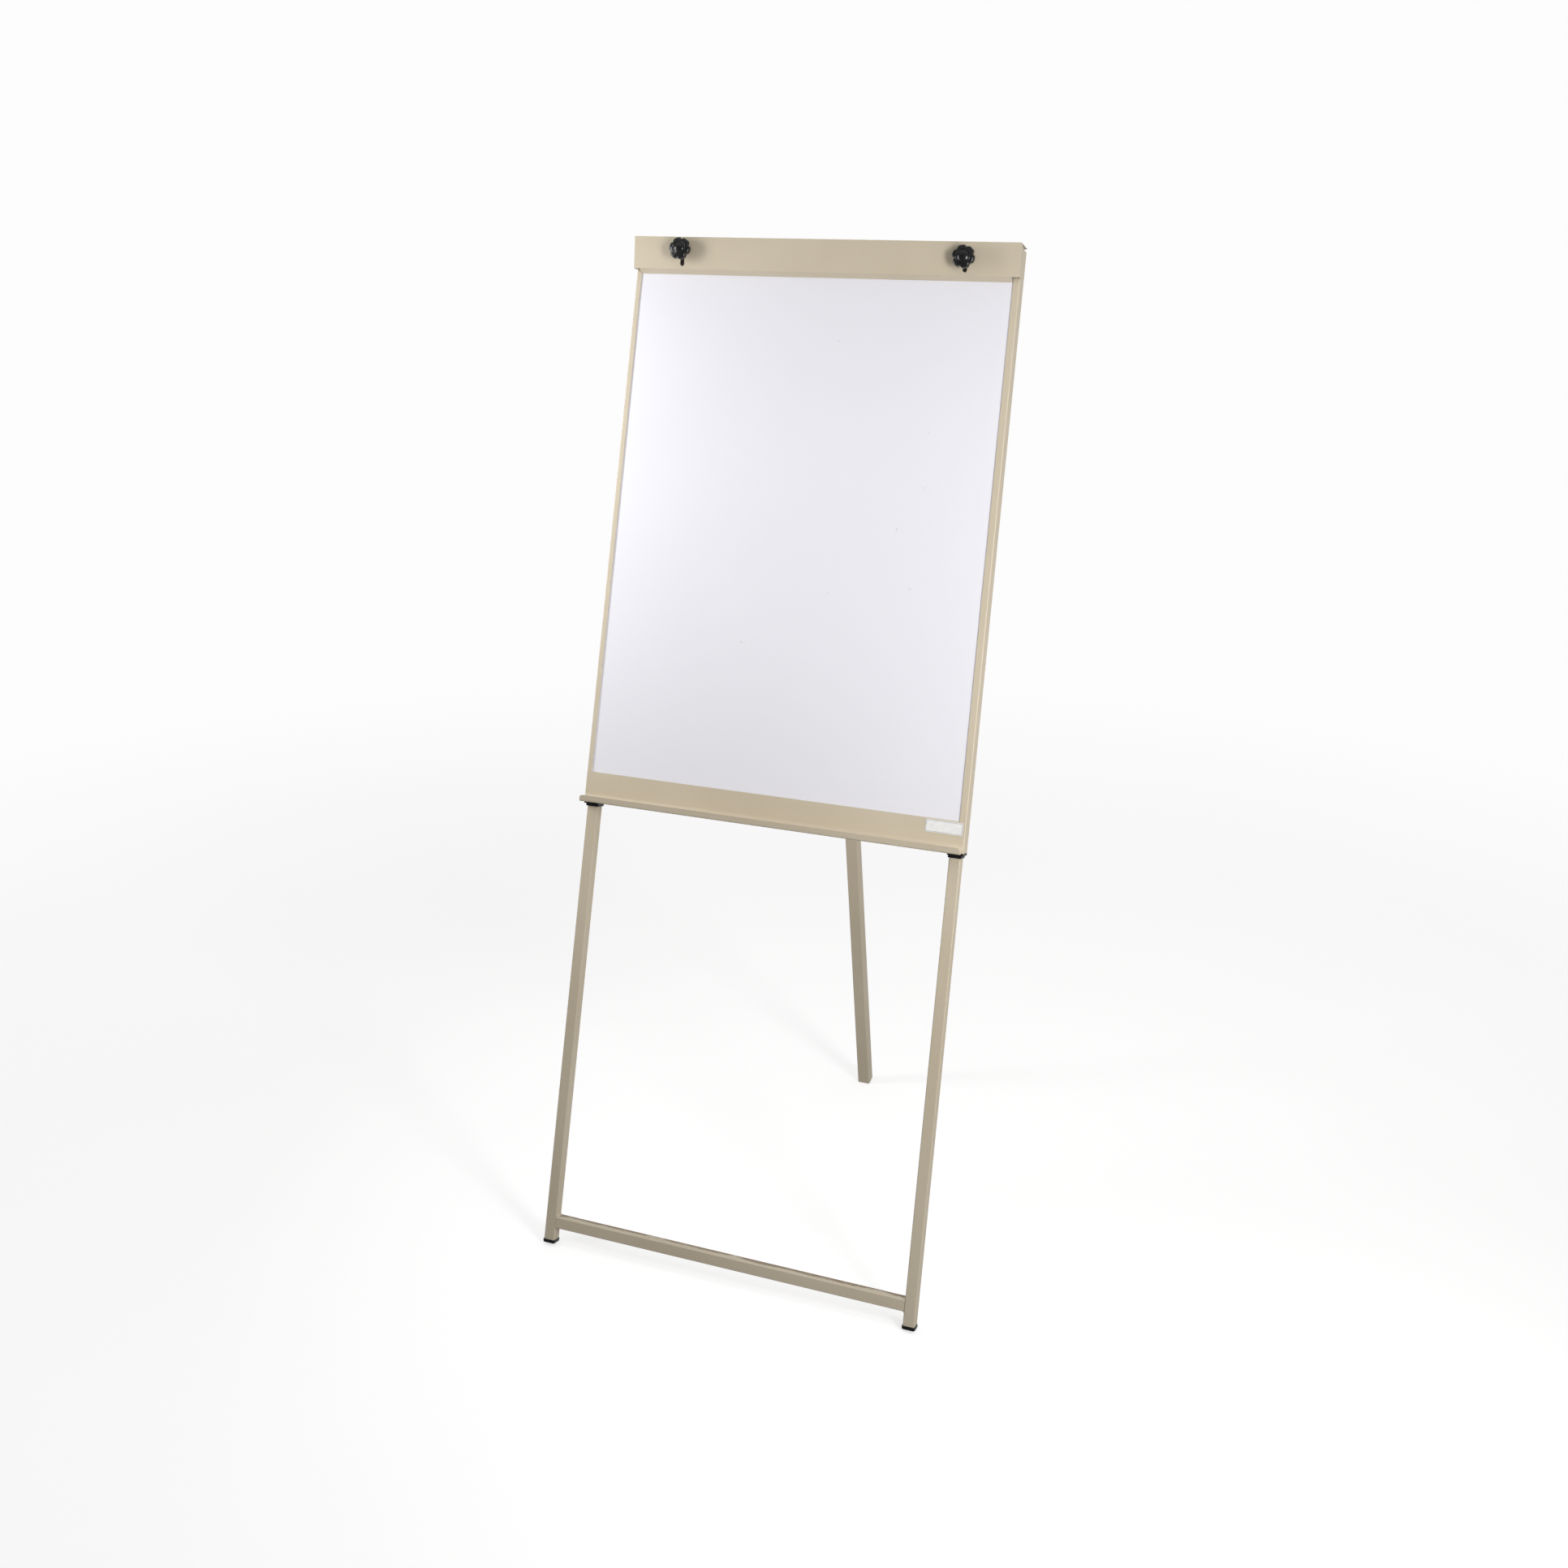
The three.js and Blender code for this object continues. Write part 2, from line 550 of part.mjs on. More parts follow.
function clamp() {
  const group = new THREE.Group();
  add(group, 'clamp_header', clampHeader(), beigeCoat());
  for (const [side, place] of Object.entries(STUD_PLACES)) {
    add(group, `clamp_washer_${side}`, clampWasher(place), zincSteel());
    add(group, `clamp_knob_${side}`, clampKnob(place), blackPlastic());
    add(group, `knob_insert_${side}`, knobInsert(place), zincSteel());
  }
  return group;
}

// ------------------------------------------------------------------------ lock knobs

// A thumb screw along Y: its tip at depth 0, its knob at the back.
function lockScrew(length) {
  return rodY(LOCK.screwRadius, 0, 0, 0, length, 16);
}

function lockKnob(screwLength) {
  const knob = starKnob({
    radius: LOCK.knobRadius, lobes: 6, scallop: 1.3, depth: 11, domeHeight: 2,
    boreRadius: LOCK.screwRadius + GAP, boreDepth: 8,
  });
  return knob.rotateX(Math.PI).translate(0, screwLength - 7, 0);
}

function lockPair(group) {
  const tip = LEG.front + LEG.size + GAP;
  const length = 22;
  const place = (geometry) => geometry.translate(LOCK.x, tip, LOCK.height);
  addPair(group, 'leg_lock_screw', place(lockScrew(length)), zincSteel);
  addPair(group, 'leg_lock_knob', place(lockKnob(length)), blackPlastic);
}

// -------------------------------------------------------------------------- rear leg

// Built about the pivot: the leg runs down -Z, and its back looks towards +Y.
function rearLeg() {
  const group = new THREE.Group();
  const upper = squareTube(REAR_UPPER.size, REAR_UPPER.wall, -REAR_UPPER.below, REAR_UPPER.above);
  const pivotHole = rodX(PIVOT.radius + 0.1, 0, 0, -30, 30);
  add(group, 'rear_upper_tube', cut(upper, pivotHole), beigeCoat());
  const inner = REAR_UPPER.size / 2 + GAP;
  const ring = rodX(8, 0, 0, inner, PIVOT.earInner - GAP, 20);
  const spacer = cut(ring, rodX(PIVOT.radius + 0.1, 0, 0, 0, 30));
  addPair(group, 'pivot_spacer', spacer, blackPlastic);
  const glideHalf = REAR_LOWER.size / 2 - REAR_LOWER.wall - GAP;
  const glideTop = -REAR_UPPER.below - GAP;
  const glide = block([-glideHalf, -glideHalf, glideTop - 8], [glideHalf, glideHalf, glideTop]);
  add(group, 'rear_glide', glide, blackPlastic());

  const foot = -REAR_LENGTH;
  const top = foot + REAR_LOWER.length;
  const lockZ = top - 24;
  const back = HALF_REAR;
  const lower = squareTube(REAR_LOWER.size, REAR_LOWER.wall, foot, top);
  const screwHole = rodY(LOCK.screwRadius + GAP, 0, lockZ, back - 5, back + 5, 16);
  add(group, 'rear_lower_tube', cut(lower, screwHole), beigeCoat());
  const plugHalf = REAR_LOWER.size / 2 - REAR_LOWER.wall - GAP;
  const plug = block([-plugHalf, -plugHalf, foot + 1], [plugHalf, plugHalf, foot + 13]);
  add(group, 'rear_end_plug', plug, blackPlastic());
  const cuff = block([-back, -back, top + GAP], [back, back, top + 6]);
  const slack = REAR_UPPER.size / 2 + 0.4;
  const cuffBore = block([-slack, -slack, top - 1], [slack, slack, top + 7]);
  add(group, 'rear_cuff', cut(cuff, cuffBore), blackPlastic());
  const nut = nutY(11, LOCK.screwRadius + GAP, 0, lockZ, back + GAP, back + GAP + 6);
  add(group, 'rear_lock_nut', nut, zincSteel());

  const tip = REAR_UPPER.size / 2 + GAP;
  const length = 20;
  const place = (geometry) => geometry.translate(0, tip, lockZ);
  add(group, 'rear_lock_screw', place(lockScrew(length)), zincSteel());
  add(group, 'rear_lock_knob', place(lockKnob(length)), blackPlastic());
  return group;
}

// ------------------------------------------------------------------------------ easel

function easel() {
  const sloping = new THREE.Group();
  sloping.rotation.x = -LEAN;
  sloping.position.set(0, -CENTRE_Y, LIFT);
  const locks = new THREE.Group();
  lockPair(locks);
  const rear = rearLeg();
  rear.position.set(0, PIVOT_DEPTH, PIVOT_HEIGHT);
  rear.rotation.x = SPREAD;
  sloping.add(boardBody(), legFrame(), clamp(), locks, rear);
  const whole = new THREE.Group();
  whole.add(sloping);
  whole.updateMatrixWorld(true);
  return whole;
}

export default easel();
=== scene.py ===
"""A flipchart easel: its visible surfaces, materials, light and camera.

Two local frames carry the geometry, both turned about X only and both in metres:
SLOPE, whose Z runs up the sloping board and whose Y points behind it, and REAR, whose
Z runs up the rear leg. The pieces' places and overall sizes come from the CAD nodes.
Roundings, weld beads, the label's border and the foot caps' height have their own sizes.
"""

import json
import math

import bmesh
import bpy
from mathutils import Matrix, Vector


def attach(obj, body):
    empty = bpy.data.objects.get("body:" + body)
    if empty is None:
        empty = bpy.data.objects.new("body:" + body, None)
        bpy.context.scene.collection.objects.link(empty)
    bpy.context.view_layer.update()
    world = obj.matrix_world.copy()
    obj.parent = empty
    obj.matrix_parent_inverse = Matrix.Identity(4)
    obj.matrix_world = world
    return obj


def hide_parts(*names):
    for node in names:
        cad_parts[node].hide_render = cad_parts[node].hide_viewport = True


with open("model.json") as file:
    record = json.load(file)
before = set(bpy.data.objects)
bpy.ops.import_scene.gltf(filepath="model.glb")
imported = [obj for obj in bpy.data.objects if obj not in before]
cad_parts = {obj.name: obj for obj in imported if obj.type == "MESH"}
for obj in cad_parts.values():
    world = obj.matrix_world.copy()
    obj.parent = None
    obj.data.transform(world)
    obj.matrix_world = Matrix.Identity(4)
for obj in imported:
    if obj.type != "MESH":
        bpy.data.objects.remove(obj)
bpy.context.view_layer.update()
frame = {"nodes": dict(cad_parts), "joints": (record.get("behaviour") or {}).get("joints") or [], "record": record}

MM = 0.001
JOINTS = {joint["name"]: joint for joint in frame["joints"]}


def frame_along(axis):
    """The frame turned about X so that its Z lies along the axis."""
    return Matrix.Rotation(-math.atan2(axis[1], axis[2]), 4, "X")


SLOPE = frame_along(JOINTS["leg_frame_slide"]["axis"])
REAR = frame_along(JOINTS["rear_leg_slide"]["axis"])


def local_box(node, local=SLOPE):
    """(lowest corner, highest corner) of a CAD node in a local frame."""
    inverse = local.inverted()
    points = [inverse @ vertex.co for vertex in frame["nodes"][node].data.vertices]
    low = Vector([min(p[i] for p in points) for i in range(3)])
    high = Vector([max(p[i] for p in points) for i in range(3)])
    return low, high


# ------------------------------------------------------------------------------ camera

CAMERA_PLACE = (0.9994, -2.8090, 1.7628)      # metres, in the object's frame
CAMERA_RIGHT = (0.9360, 0.3516, 0.0166)
CAMERA_UP = (-0.0916, 0.1980, 0.9759)
FOCAL_LENGTH = 38.94                           # millimetres
SENSOR_WIDTH = 36
SHIFT = (-0.0041, -0.1055)
CLIP_END = 60


def make_camera():
    data = bpy.data.cameras.new("camera")
    data.lens = FOCAL_LENGTH
    data.sensor_width = SENSOR_WIDTH
    data.shift_x, data.shift_y = SHIFT
    data.clip_end = CLIP_END
    camera = bpy.data.objects.new("camera", data)
    bpy.context.scene.collection.objects.link(camera)
    right = Vector(CAMERA_RIGHT).normalized()
    back = right.cross(Vector(CAMERA_UP)).normalized()
    up = back.cross(right)
    turn = Matrix((right, up, back)).transposed().to_4x4()
    camera.matrix_world = Matrix.Translation(CAMERA_PLACE) @ turn
    bpy.context.scene.camera = camera


make_camera()


# --------------------------------------------------------------------------- materials

def linear(*srgb):
    """An sRGB colour of 0 to 255 a channel, as linear values with alpha."""
    def channel(value):
        value /= 255
        return value / 12.92 if value <= 0.04045 else ((value + 0.055) / 1.055) ** 2.4
    return (*[channel(value) for value in srgb], 1)


class Shader:
    """A material under construction: nodes, links and a few common chains."""

    def __init__(self, name, **constants):
        self.material = bpy.data.materials.new(name)
        self.material.use_nodes = True
        self.tree = self.material.node_tree
        self.surface = self.tree.nodes["Principled BSDF"]
        for socket, value in constants.items():
            self.surface.inputs[socket.replace("_", " ")].default_value = value
        self.place = self.node("ShaderNodeTexCoord").outputs["Object"]

    def node(self, kind, **settings):
        node = self.tree.nodes.new(kind)
        for key, value in settings.items():
            if hasattr(node, key):
                setattr(node, key, value)
            else:
                node.inputs[key.replace("_", " ")].default_value = value
        return node

    def link(self, source, target):
        self.tree.links.new(source, target)

    def noise(self, scale, detail=2.0, roughness=0.5, stretch=None, distortion=0.0):
        """Noise with features about 1/scale metres across."""
        node = self.node("ShaderNodeTexNoise", Scale=scale, Detail=detail,
                         Roughness=roughness, Distortion=distortion)
        self.link(self.stretched(stretch) if stretch else self.place, node.inputs["Vector"])
        return node.outputs["Fac"]

    def stretched(self, stretch):
        node = self.node("ShaderNodeMapping")
        node.inputs["Scale"].default_value = stretch
        self.link(self.place, node.inputs["Vector"])
        return node.outputs["Vector"]

    def cells(self, scale):
        node = self.node("ShaderNodeTexVoronoi", Scale=scale)
        self.link(self.place, node.inputs["Vector"])
        return node.outputs["Distance"]

    def ramp(self, source, low, high, to_low=0.0, to_high=1.0):
        node = self.node("ShaderNodeMapRange")
        node.interpolation_type = "SMOOTHSTEP"
        node.inputs["From Min"].default_value = low
        node.inputs["From Max"].default_value = high
        node.inputs["To Min"].default_value = to_low
        node.inputs["To Max"].default_value = to_high
        self.link(source, node.inputs["Value"])
        return node.outputs["Result"]

    def math(self, operation, first, second):
        node = self.node("ShaderNodeMath", operation=operation)
        for socket, value in zip(node.inputs, (first, second)):
            if isinstance(value, (int, float)):
                socket.default_value = value
            else:
                self.link(value, socket)
        return node.outputs[0]

    def mix(self, factor, first, second):
        node = self.node("ShaderNodeMix", data_type="RGBA")
        for socket, value in zip((node.inputs[0], node.inputs[6], node.inputs[7]),
                                 (factor, first, second)):
            if isinstance(value, (int, float, tuple)):
                socket.default_value = value
            else:
                self.link(value, socket)
        return node.outputs[2]

    def facing(self, axis):
        """How squarely the surface faces an axis, from -1 to 1, fixed to the piece."""
        node = self.node("ShaderNodeVectorMath", operation="DOT_PRODUCT")
        self.link(self.node("ShaderNodeTexCoord").outputs["Normal"], node.inputs[0])
        node.inputs[1].default_value = axis
        return node.outputs["Value"]

    def along(self, axis):
        """The place on the surface along an axis, in metres."""
        node = self.node("ShaderNodeVectorMath", operation="DOT_PRODUCT")
        self.link(self.place, node.inputs[0])
        node.inputs[1].default_value = axis
        return node.outputs["Value"]

    def bump(self, *layers):
        """Each layer is (height socket, depth in metres)."""
        normal = None
        for height, depth in layers:
            node = self.node("ShaderNodeBump", Strength=1.0, Distance=depth)
            self.link(height, node.inputs["Height"])
            if normal is not None:
                self.link(normal, node.inputs["Normal"])
            normal = node.outputs["Normal"]
        self.link(normal, self.surface.inputs["Normal"])

    def set(self, **links):
        for socket, source in links.items():
            self.link(source, self.surface.inputs[socket.replace("_", " ")])
        return self.material


UP_SLOPE = tuple(SLOPE.to_3x3() @ Vector((0, 0, 1)))
BACK_SLOPE = tuple(SLOPE.to_3x3() @ Vector((0, 1, 0)))


def beige_coat(name, worn=False):
    """Powder coat: satin, with a fine orange peel.

    Worn adds chips on the upper side, and brown scuffs there that thicken to the rear.
    """
    s = Shader(name, IOR=1.5, Coat_Weight=0.12, Coat_Roughness=0.25)
    tone = s.ramp(s.noise(3.1, 3), 0.3, 0.7)
    colour = s.mix(tone, linear(204, 191, 168), linear(211, 199, 177))
    specks = s.ramp(s.noise(260, 2), 0.71, 0.76, 0.0, 0.25)
    colour = s.mix(specks, colour, linear(168, 154, 130))
    peel = s.noise(620, 2, 0.45)
    grain = s.noise(2600, 1)
    roughness = s.ramp(s.noise(38, 4, 0.6), 0.3, 0.7, 0.40, 0.52)
    layers = [(peel, 0.00005), (grain, 0.000012)]
    if worn:
        top = s.ramp(s.facing(UP_SLOPE), 0.75, 0.95)
        low, high = local_box("crossbar")
        depth = high.y - low.y
        rear = s.ramp(s.along(BACK_SLOPE), low.y + 0.15 * depth, low.y + 0.75 * depth, 0.0, 0.30)
        scuffs = s.noise(95, 7, 0.75, stretch=(0.28, 1.0, 1.0))
        patches = s.ramp(s.noise(7, 3, 0.6), 0.40, 0.60, 0.0, 0.14)
        edge = s.math("ADD", s.math("ADD", scuffs, rear), patches)
        scuffed = s.math("MULTIPLY", s.ramp(edge, 0.72, 0.84), top)
        shade = s.ramp(s.noise(300, 3), 0.4, 0.6)
        brown = s.mix(shade, linear(126, 103, 82), linear(158, 138, 112))
        colour = s.mix(s.math("MULTIPLY", scuffed, 0.85), colour, brown)
        chips = s.math("MULTIPLY", s.ramp(s.noise(120, 3, 0.6), 0.70, 0.72), top)
        colour = s.mix(chips, colour, linear(118, 104, 86))
        layers.append((s.math("SUBTRACT", 1.0, chips), 0.00012))
    s.bump(*layers)
    return s.set(Base_Color=colour, Roughness=roughness)


def white_enamel():
    """Baked writing enamel: smooth, semi-gloss, with faint wiped streaks."""
    s = Shader("white_enamel", IOR=1.52, Coat_Weight=0.35, Coat_Roughness=0.12)
    tone = s.ramp(s.noise(1.7, 3), 0.3, 0.7)
    colour = s.mix(tone, linear(240, 239, 245), linear(243, 242, 248))
    haze = s.noise(6, 4, 0.55, stretch=(0.7, 1.0, 1.0))
    specks = s.ramp(s.noise(70, 2, 0.4), 0.79, 0.82, 0.0, 0.25)
    colour = s.mix(specks, colour, linear(150, 148, 152))
    roughness = s.ramp(haze, 0.2, 0.8, 0.29, 0.37)
    s.bump((s.noise(90, 2), 0.00001), (s.noise(1500, 1), 0.000003))
    return s.set(Base_Color=colour, Roughness=roughness)


def black_plastic():
    """Moulded plastic with a fine spark-eroded grain and a little dust."""
    s = Shader("black_plastic", IOR=1.49, Coat_Weight=0.6, Coat_Roughness=0.1,
               Specular_IOR_Level=0.25)
    tone = s.ramp(s.noise(60, 3), 0.35, 0.7)
    colour = s.mix(tone, linear(13, 13, 14), linear(20, 20, 22))
    dust = s.ramp(s.noise(210, 4, 0.65), 0.60, 0.80, 0.0, 0.05)
    colour = s.mix(dust, colour, linear(120, 116, 110))
    roughness = s.ramp(s.noise(90, 4), 0.3, 0.7, 0.36, 0.46)
    s.bump((s.noise(2200, 2), 0.000006), (s.noise(160, 2), 0.00001))
    return s.set(Base_Color=colour, Roughness=roughness)


def zinc_steel():
    """Zinc-plated steel: bright, a little uneven, finely scratched."""
    s = Shader("zinc_steel", Metallic=1.0)
    tone = s.ramp(s.noise(140, 4, 0.6), 0.3, 0.7)
    colour = s.mix(tone, linear(186, 189, 194), linear(214, 214, 208))
    stain = s.ramp(s.noise(55, 3), 0.58, 0.75, 0.0, 0.35)
    colour = s.mix(stain, colour, linear(150, 148, 140))
    scratches = s.noise(900, 2, 0.5, stretch=(1.0, 0.08, 1.0))
    roughness = s.ramp(scratches, 0.3, 0.7, 0.29, 0.44)
    s.bump((scratches, 0.00001), (s.noise(300, 3), 0.00002))
    return s.set(Base_Color=colour, Roughness=roughness)


def hardboard():
    """Pressed wood fibre: brown flecks and fibres over a pressed screen pattern."""
    s = Shader("hardboard")
    fibres = s.noise(420, 5, 0.7, stretch=(1.0, 1.0, 0.22), distortion=1.2)
    colour = s.mix(s.ramp(fibres, 0.3, 0.7), linear(112, 78, 46), linear(160, 120, 76))
    flecks = s.ramp(s.noise(700, 3, 0.6), 0.62, 0.72, 0.0, 0.7)
    colour = s.mix(flecks, colour, linear(74, 50, 30))
    screen = s.cells(480)
    roughness = s.ramp(fibres, 0.3, 0.7, 0.72, 0.88)
    s.bump((screen, 0.00025), (fibres, 0.0001))
    return s.set(Base_Color=colour, Roughness=roughness)


def printed_film(name, light, dark):
    """Thin printed label film, slightly uneven in tone and gloss."""
    s = Shader(name, IOR=1.46, Coat_Weight=0.25, Coat_Roughness=0.15)
    colour = s.mix(s.ramp(s.noise(120, 3), 0.3, 0.7), dark, light)
    roughness = s.ramp(s.noise(300, 3), 0.3, 0.7, 0.28, 0.4)
    s.bump((s.noise(900, 2), 0.000008),)
    return s.set(Base_Color=colour, Roughness=roughness)


BEIGE = beige_coat("beige_coat")
BEIGE_WORN = beige_coat("beige_coat_worn", worn=True)
ENAMEL = white_enamel()
BLACK = black_plastic()
ZINC = zinc_steel()
BOARD_BACK = hardboard()
FILM = printed_film("label_film", linear(246, 246, 245), linear(238, 238, 238))
FILM_PRINT = printed_film("label_print", linear(122, 132, 140), linear(108, 118, 126))

BODY_OF = {
    node: body
    for body, members in frame["record"]["behaviour"]["bodies"].items()
    for node in members
}


# ------------------------------------------------------------------------- mesh making

def link_mesh(name, bm, local=None):
    """A new object from the bmesh, which lies in a local frame or in the world."""
    mesh = bpy.data.meshes.new(name)
    bm.to_mesh(mesh)
    bm.free()
    if local is not None:
        mesh.transform(local)
    piece = bpy.data.objects.new(name, mesh)
    bpy.context.scene.collection.objects.link(piece)
    return piece


def settle(piece, material, *nodes):
    """Gives a finished piece its material, its body and the nodes it replaces."""
    piece.data.materials.clear()
    piece.data.materials.append(material)
    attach(piece, BODY_OF[nodes[0]])
    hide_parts(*nodes)
    return piece


def smooth(piece, angle=35):
    """Smooth shading that keeps flat faces flat, sharp where faces turn more than the angle."""
    for polygon in piece.data.polygons:
        polygon.use_smooth = True
    piece.data.set_sharp_from_angle(angle=math.radians(angle))
    even = piece.modifiers.new("even", "WEIGHTED_NORMAL")
    even.keep_sharp = True
    bake_modifiers(piece)


def bake_modifiers(piece):
    """Replaces the piece's mesh with what its modifiers make of it."""
    graph = bpy.context.evaluated_depsgraph_get()
    mesh = bpy.data.meshes.new_from_object(piece.evaluated_get(graph))
    piece.modifiers.clear()
    piece.data = mesh


def narrow(face, width):
    longest = max(edge.calc_length() for edge in face.edges)
    return face.calc_area() / longest < width


def dressed_copy(node, material, fold=1.6, rim=0.35, inner=0.4, sheet=1.7, bend=20):
    """A copy of a CAD node with its outer edges, its rims and its inner corners rounded.

    Fold, rim and inner are the widths of those roundings. An edge of a face narrower than
    the sheet is a rim, and an edge that turns less than the bend, in degrees, stays as it
    is. All other sizes are in millimetres.
    """
    bm = bmesh.new()
    bm.from_mesh(frame["nodes"][node].data)
    bmesh.ops.remove_doubles(bm, verts=bm.verts, dist=0.01 * MM)
    bmesh.ops.dissolve_limit(bm, angle_limit=math.radians(0.6), verts=bm.verts,
                             edges=bm.edges, delimit=set())
    bmesh.ops.recalc_face_normals(bm, faces=bm.faces)
    weight = bm.edges.layers.float.new("bevel_weight_edge")
    for edge in bm.edges:
        if len(edge.link_faces) != 2:
            continue
        turn = math.degrees(edge.calc_face_angle_signed(0.0))
        if abs(turn) < bend:
            continue
        if any(narrow(face, sheet * MM) for face in edge.link_faces):
            edge[weight] = rim / fold
        elif turn < 0:
            edge[weight] = inner / fold
        else:
            edge[weight] = 1.0
    piece = link_mesh(node + "_skin", bm)
    bevel = piece.modifiers.new("edges", "BEVEL")
    bevel.limit_method = "WEIGHT"
    bevel.width = fold * MM
    bevel.segments = 4
    bevel.miter_outer = "MITER_ARC"
    bake_modifiers(piece)
    smooth(piece, 40)
    return settle(piece, material, node)


def ring_bridge(bm, rings, closed=False):
    """Quads between successive rings of the same length; closed joins the last to the first."""
    made = [[bm.verts.new(point) for point in ring] for ring in rings]
    pairs = list(zip(made, made[1:]))
    if closed:
        pairs.append((made[-1], made[0]))
    for first, second in pairs:
        count = len(first)
        for i in range(count):
            j = (i + 1) % count
            bm.faces.new((first[i], first[j], second[j], second[i]))
    return made


def round_square(half, radius, steps=6):
    """Points round a square of the given half side, with round corners."""
    points = []
    for quarter in range(4):
        start = quarter * math.pi / 2
        cx = (half - radius) * (1 if quarter in (0, 3) else -1)
        cy = (half - radius) * (1 if quarter in (0, 1) else -1)
        for i in range(steps + 1):
            angle = start + (math.pi / 2) * i / steps
            points.append((cx + radius * math.cos(angle), cy + radius * math.sin(angle)))
    return points


def square_tube(node, material, wall=1.5, radius=2.0, rim=0.3, local=SLOPE, along=2,
                reach=0.0):
    """A square tube over a CAD node's place, open at both ends, its rims rounded.

    Each end goes past the CAD node's end by the reach, in millimetres.
    """
    low, high = local_box(node, local)
    centre = (low + high) / 2
    sides = [axis for axis in range(3) if axis != along]
    half = (high[sides[0]] - low[sides[0]]) / 2
    wall, radius, rim = wall * MM, radius * MM, rim * MM
    ends = (low[along] - reach * MM, high[along] + reach * MM)

    def ring(inset, corner, place):
        made = []
        for a, b in round_square(half - inset, corner):
            point = Vector((0, 0, 0))
            point[sides[0]] = centre[sides[0]] + a
            point[sides[1]] = centre[sides[1]] + b
            point[along] = place
            made.append(point)
        return made

    def end_rings(end, inward):
        rounded = [ring(rim * (1 - math.cos(t)), radius, end + inward * rim * (1 - math.sin(t)))
                   for t in (math.pi / 2 * i / 3 for i in range(4))]
        hollow = ring(wall, max(radius - wall, 0.4 * MM), end + inward * rim)
        return [*rounded, hollow]

    first = end_rings(ends[0], 1)
    last = end_rings(ends[1], -1)
    bm = bmesh.new()
    ring_bridge(bm, [*first, *reversed(last)], closed=True)
    bmesh.ops.recalc_face_normals(bm, faces=bm.faces)
    piece = link_mesh(node + "_skin", bm, local)
    smooth(piece, 50)
    return settle(piece, material, node)


def star_knob(node, material, toward, turn=0.0, hub=0.0, lobes=6, scallop=0.125):
    """A star knob with a rounded, scalloped rim and a dome inside a raised ring.

    Toward is the direction that its face looks in, turn is its lobes' angle in degrees,
    hub is the share of its depth that the hub behind the star takes up, and scallop is a
    hollow's depth over the radius. The node gives its place and its size.
    """
    cad = frame["nodes"][node]
    toward = Vector(toward).normalized()
    along = [vertex.co.dot(toward) for vertex in cad.data.vertices]
    depth = max(along) - min(along)
    spread = [vertex.co - toward * vertex.co.dot(toward) for vertex in cad.data.vertices]
    low = Vector([min(p[i] for p in spread) for i in range(3)])
    high = Vector([max(p[i] for p in spread) for i in range(3)])
    centre = (low + high) / 2 + toward * min(along)
    sideways = Vector((1, 0, 0))
    upward = toward.cross(sideways).normalized()
    radius = max((p - centre + toward * min(along)).length for p in spread)
    star = depth * (1 - hub)

    def reach(angle, share):
        wave = max(0.0, -math.cos(lobes * angle))
        return 1 - share * scallop * wave ** 1.3

    # Each row is a share of the radius, a share of the star's depth and how wavy it is.
    profile = [(0.55, -hub / (1 - hub), 0.0), (0.55, 0.02, 0.0)] if hub else [(0.50, 0.02, 0.0)]
    profile += [
        (0.86, 0.02, 1.0), (0.93, 0.05, 1.0), (0.98, 0.13, 1.0),
        (1.00, 0.24, 1.0), (1.00, 0.46, 1.0), (0.985, 0.58, 1.0), (0.94, 0.68, 1.0),
        (0.87, 0.74, 0.9), (0.78, 0.765, 0.6), (0.72, 0.77, 0.2),
        (0.655, 0.775, 0.0), (0.635, 0.805, 0.0), (0.61, 0.815, 0.0), (0.585, 0.805, 0.0),
        (0.565, 0.765, 0.0), (0.52, 0.76, 0.0), (0.47, 0.79, 0.0), (0.43, 0.85, 0.0),
        (0.35, 0.92, 0.0), (0.25, 0.965, 0.0), (0.14, 0.99, 0.0), (0.05, 1.0, 0.0),
    ]
    bm = bmesh.new()
    rings = []
    steps = lobes * 20
    for share, height, wavy in profile:
        ring = []
        for i in range(steps):
            angle = 2 * math.pi * i / steps
            r = radius * share * reach(angle, wavy)
            angle += math.radians(turn)
            ring.append(centre + toward * (depth * hub + star * height)
                        + sideways * (r * math.cos(angle)) + upward * (r * math.sin(angle)))
        rings.append(ring)
    made = ring_bridge(bm, rings)
    bm.faces.new(made[-1])
    bm.faces.new(list(reversed(made[0])))
    bmesh.ops.recalc_face_normals(bm, faces=bm.faces)
    piece = link_mesh(node + "_skin", bm)
    smooth(piece, 50)
    return settle(piece, material, node)


# ------------------------------------------------------------------------------ pieces

LIP_TOP_SHARE = 0.218       # height of the pen tray's lip over the height of its sheet
LIP_DEPTH = 5 * MM          # reaches from the tray's front edge past the lip's sheet
WELD = 3.5 * MM             # side of a weld bead
WELD_GAP = 0.3 * MM         # between the crossbar's end and the leg

FORWARD = SLOPE.to_3x3() @ Vector((0, -1, 0))
BACKWARD = -FORWARD
REAR_BACK = REAR.to_3x3() @ Vector((0, 1, 0))


def both_sides(name):
    return [name + "_left", name + "_right"]


def frame_pieces():
    for node in both_sides("side_channel"):
        dressed_copy(node, BEIGE)
    for node in ("stud_rail", "hinge_rail", "bottom_rail"):
        dressed_copy(node, BEIGE, fold=1.2)
    rounded_lip(dressed_copy("pen_tray", BEIGE))
    dressed_copy("clamp_header", BEIGE)
    dressed_copy("hinge_bracket", ZINC, fold=1.2)


